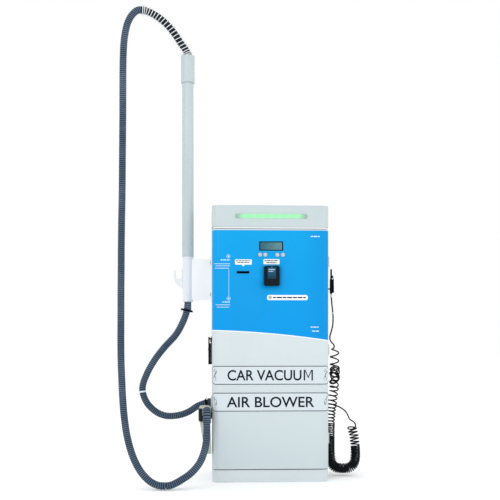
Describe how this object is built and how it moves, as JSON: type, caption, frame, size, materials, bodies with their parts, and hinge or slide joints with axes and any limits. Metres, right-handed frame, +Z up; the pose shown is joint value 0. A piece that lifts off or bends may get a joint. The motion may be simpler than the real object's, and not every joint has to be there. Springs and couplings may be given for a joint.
{
  "type": "vacuum and air blow station",
  "caption": "Free-standing service cabinet with a hinged front door, push buttons and card terminal, a swivelling hose mast with a suction hose and nozzle, and a coiled air hose with blow gun.",
  "frame": {"origin": "on the floor, at the centre of the base frame's four anchor holes", "axes": "+X to the right seen from the front, +Y from the door to the back, +Z up"},
  "size_m": [1.3655, 0.6995, 2.6317],
  "materials": {
    "cabinet_white": "satin powder coat",
    "door_blue": "satin film",
    "mast_white": "satin powder coat",
    "zinc_steel": "zinc plated",
    "polished_steel": "polished",
    "plate_aluminium": "fine matt",
    "black_plastic": "moulded",
    "black_gloss": "gloss",
    "hose_plastic": "corrugated",
    "air_hose_plastic": "smooth",
    "nozzle_plastic": "moulded",
    "light_green": "translucent",
    "lcd_glass": "clear",
    "seal_rubber": "matt",
    "brass": "turned",
    "grey_cast": "painted",
    "filter_paper": "pleated",
    "bin_plastic": "moulded",
    "drum_steel": "brushed"
  },
  "bodies": {
    "cabinet": {"plinth": "cabinet_white", "floor_pan": "cabinet_white", "left_wall": "cabinet_white", "right_wall": "cabinet_white", "rear_panel": "cabinet_white", "header": "cabinet_white", "led_diffuser": "light_green", "equipment_shelf": "zinc_steel", "separator_drum": "drum_steel", "filter_cartridge": "filter_paper", "suction_pipe": "hose_plastic", "vacuum_motor": "grey_cast", "compressor": "grey_cast", "air_receiver": "grey_cast", "pressure_regulator": "grey_cast", "mounting_plate": "zinc_steel", "circuit_breaker": "nozzle_plastic", "control_modules": "zinc_steel", "mast_bracket": "mast_white", "mast_spigot": "mast_white", "hose_hook": "mast_white", "outlet_flange": "black_plastic", "hose_inlet": "hose_plastic", "hose_drop": "hose_plastic", "hose_riser": "hose_plastic", "nozzle_holder": "black_plastic", "gun_holder": "zinc_steel", "air_bulkhead": "brass", "air_hose": "air_hose_plastic", "air_coil": "air_hose_plastic", "body_hinges": "zinc_steel", "panel_screws": "zinc_steel"},
    "door": {"door_panel": "door_blue", "door_hinges": "zinc_steel", "door_seal": "seal_rubber", "name_plates": "plate_aluminium", "display_window": "lcd_glass", "button_rings": "polished_steel", "payment_terminal": "black_gloss", "card_slot": "black_plastic", "handle_base": "black_plastic"},
    "handle_boss": {"handle_boss": "zinc_steel"},
    "handle_lever": {"handle_lever": "black_plastic"},
    "lock_bar": {"lock_bar": "zinc_steel"},
    "button_1": {"button_1": "polished_steel"},
    "button_2": {"button_2": "polished_steel"},
    "button_3": {"button_3": "polished_steel"},
    "button_4": {"button_4": "polished_steel"},
    "mast": {"mast_tube": "mast_white", "mast_collar": "mast_white", "spring_guide": "zinc_steel"},
    "nozzle": {"nozzle": "nozzle_plastic", "hose_cuff": "hose_plastic"},
    "air_gun": {"air_gun": "black_plastic"},
    "gun_trigger": {"gun_trigger": "grey_cast"},
    "dust_bin": {"dust_bin": "bin_plastic"},
    "vacuum_fan": {"vacuum_fan": "drum_steel"},
    "compressor_fan": {"compressor_fan": "drum_steel"},
    "regulator_knob": {"regulator_knob": "black_plastic"},
    "breaker_toggle": {"breaker_toggle": "black_plastic"}
  },
  "joints": [
    {"name": "door_swing", "type": "hinge", "parent": "cabinet", "child": "door", "pos_m": [0.3265, -0.134, 0.72], "axis": [0, 0, 1], "range_deg": [0, 105]},
    {"name": "handle_turn", "type": "hinge", "parent": "door", "child": "handle_boss", "pos_m": [-0.326, -0.16, 0.775], "axis": [1, 0, 0], "range_deg": [0, 90]},
    {"name": "handle_lift", "type": "hinge", "parent": "handle_boss", "child": "handle_lever", "pos_m": [-0.336, -0.16, 0.786], "axis": [0, 1, 0], "range_deg": [0, 35]},
    {"name": "lock_slide", "type": "slide", "parent": "door", "child": "lock_bar", "axis": [0, 0, 1], "range_m": [0, 0.0256]},
    {"name": "button_1_press", "type": "slide", "parent": "door", "child": "button_1", "axis": [0, 1, 0], "range_m": [0, 0.002], "stiffness_N_per_m": 500, "springref_m": -0.003},
    {"name": "button_2_press", "type": "slide", "parent": "door", "child": "button_2", "axis": [0, 1, 0], "range_m": [0, 0.002], "stiffness_N_per_m": 500, "springref_m": -0.003},
    {"name": "button_3_press", "type": "slide", "parent": "door", "child": "button_3", "axis": [0, 1, 0], "range_m": [0, 0.002], "stiffness_N_per_m": 500, "springref_m": -0.003},
    {"name": "button_4_press", "type": "slide", "parent": "door", "child": "button_4", "axis": [0, 1, 0], "range_m": [0, 0.002], "stiffness_N_per_m": 500, "springref_m": -0.003},
    {"name": "mast_swivel", "type": "hinge", "parent": "cabinet", "child": "mast", "pos_m": [-0.455, -0.025, 1.244], "axis": [0, 0, 1], "range_deg": [-45, 45], "deforming": ["hose_drop"]},
    {"name": "nozzle_lift", "type": "slide", "parent": "cabinet", "child": "nozzle", "axis": [0, 0, 1], "range_m": [0, 0.18], "deforming": ["hose_riser"]},
    {"name": "gun_lift", "type": "slide", "parent": "cabinet", "child": "air_gun", "axis": [0, 0, 1], "range_m": [0, 0.12], "deforming": ["air_hose"]},
    {"name": "trigger_squeeze", "type": "hinge", "parent": "air_gun", "child": "gun_trigger", "pos_m": [0.357, -0.09, 1.13], "axis": [0, 1, 0], "range_deg": [0, 3], "stiffness_Nm_per_rad": 0.6, "springref_deg": -8.59},
    {"name": "bin_draw", "type": "slide", "parent": "cabinet", "child": "dust_bin", "axis": [0, -1, 0], "range_m": [0, 0.075]},
    {"name": "vacuum_fan_spin", "type": "hinge", "parent": "cabinet", "child": "vacuum_fan", "pos_m": [-0.12, 0.04, 0.7], "axis": [0, 0, 1], "continuous": true},
    {"name": "compressor_fan_spin", "type": "hinge", "parent": "cabinet", "child": "compressor_fan", "pos_m": [0.074, 0.04, 0.945], "axis": [1, 0, 0], "continuous": true},
    {"name": "regulator_turn", "type": "hinge", "parent": "cabinet", "child": "regulator_knob", "pos_m": [0.19, -0.06, 0.68], "axis": [0, 0, 1], "range_deg": [-540, 540]},
    {"name": "breaker_throw", "type": "hinge", "parent": "cabinet", "child": "breaker_toggle", "pos_m": [-0.243, 0.15, 1.2], "axis": [1, 0, 0], "range_deg": [-30, 30]}
  ],
  "couplings": [
    {"joint": "lock_slide", "follows": "handle_turn", "m_per_rad": 0.0162}
  ]
}
